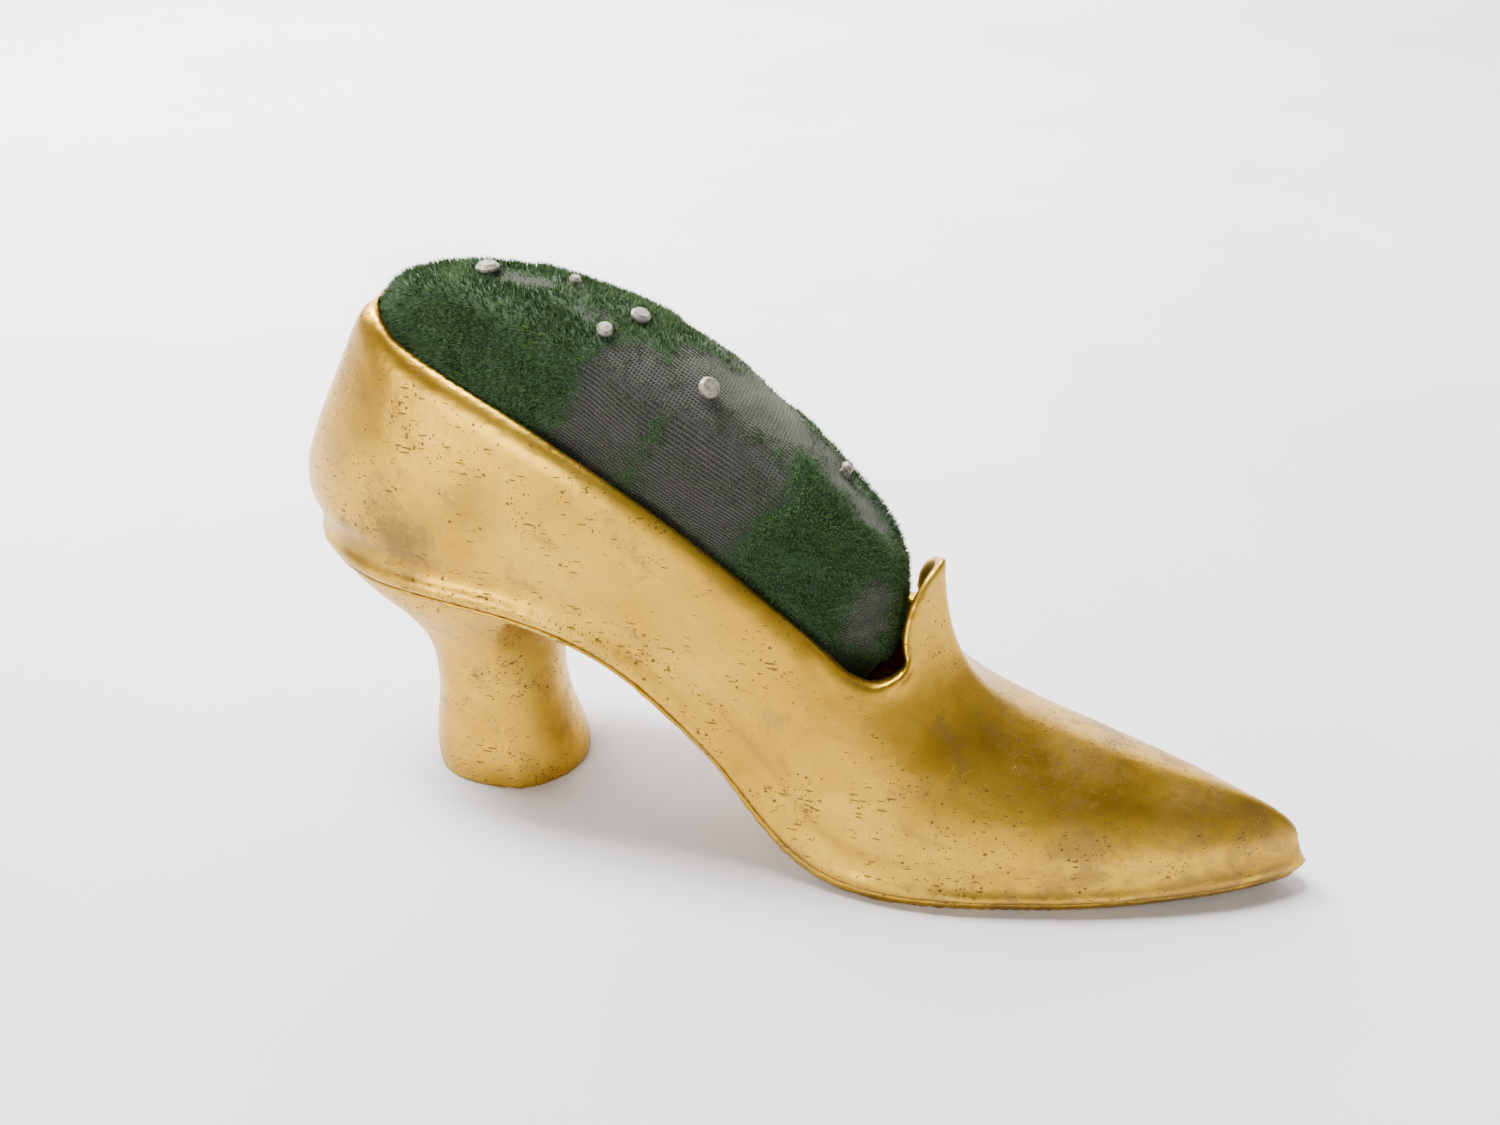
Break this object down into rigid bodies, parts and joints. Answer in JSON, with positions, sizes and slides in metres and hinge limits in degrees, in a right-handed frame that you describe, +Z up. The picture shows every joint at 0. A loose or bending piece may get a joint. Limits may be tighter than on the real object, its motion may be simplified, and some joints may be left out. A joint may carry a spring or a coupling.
{
  "type": "shoe pincushion",
  "caption": "Gilt cast-metal lady's pump with a waisted heel and pointed toe, its opening filled by a domed velvet pin pad holding flat-headed pins.",
  "frame": {"origin": "bottom centre of the bounding box, on the surface that the shoe stands on", "axes": "+X towards the toe, +Y across the shoe to its left side, +Z up"},
  "size_m": [0.14, 0.037, 0.0781],
  "materials": {
    "gilt_metal": "satin gilt over a casting, worn, with dark pits and olive-brown patina",
    "velvet": "dark green cut pile, worn through to a grey-brown woven ground",
    "calico": "plain unbleached cotton",
    "sawdust": "packed fine sawdust",
    "card": "grey-brown pasteboard",
    "thread": "waxed linen thread",
    "glue": "dried hide glue",
    "pin_steel": "dull grey-brown oxidised steel"
  },
  "bodies": {
    "shoe": {"upper": "gilt_metal", "sole": "gilt_metal", "heel": "gilt_metal", "velvet_cover": "velvet", "inner_bag": "calico", "stuffing": "sawdust", "card_base": "card", "gathering_thread": "thread", "glue_line": "glue"},
    "pin_1": {"pin_1": "pin_steel"},
    "pin_2": {"pin_2": "pin_steel"},
    "pin_3": {"pin_3": "pin_steel"},
    "pin_4": {"pin_4": "pin_steel"},
    "pin_5": {"pin_5": "pin_steel"},
    "pin_6": {"pin_6": "pin_steel"}
  },
  "joints": [
    {"name": "pin_1_draw", "type": "slide", "parent": "shoe", "child": "pin_1", "axis": [-0.0201, 0.0439, 0.9988], "range_m": [0, 0.02]},
    {"name": "pin_2_draw", "type": "slide", "parent": "shoe", "child": "pin_2", "axis": [0.2049, 0.0656, 0.9766], "range_m": [0, 0.02]},
    {"name": "pin_3_draw", "type": "slide", "parent": "shoe", "child": "pin_3", "axis": [0.3065, -0.4306, 0.8489], "range_m": [0, 0.02]},
    {"name": "pin_4_draw", "type": "slide", "parent": "shoe", "child": "pin_4", "axis": [0.3719, -0.0344, 0.9276], "range_m": [0, 0.02]},
    {"name": "pin_5_draw", "type": "slide", "parent": "shoe", "child": "pin_5", "axis": [0.5521, -0.4364, 0.7105], "range_m": [0, 0.02]},
    {"name": "pin_6_draw", "type": "slide", "parent": "shoe", "child": "pin_6", "axis": [0.7717, 0.0989, 0.6283], "range_m": [0, 0.02]}
  ]
}
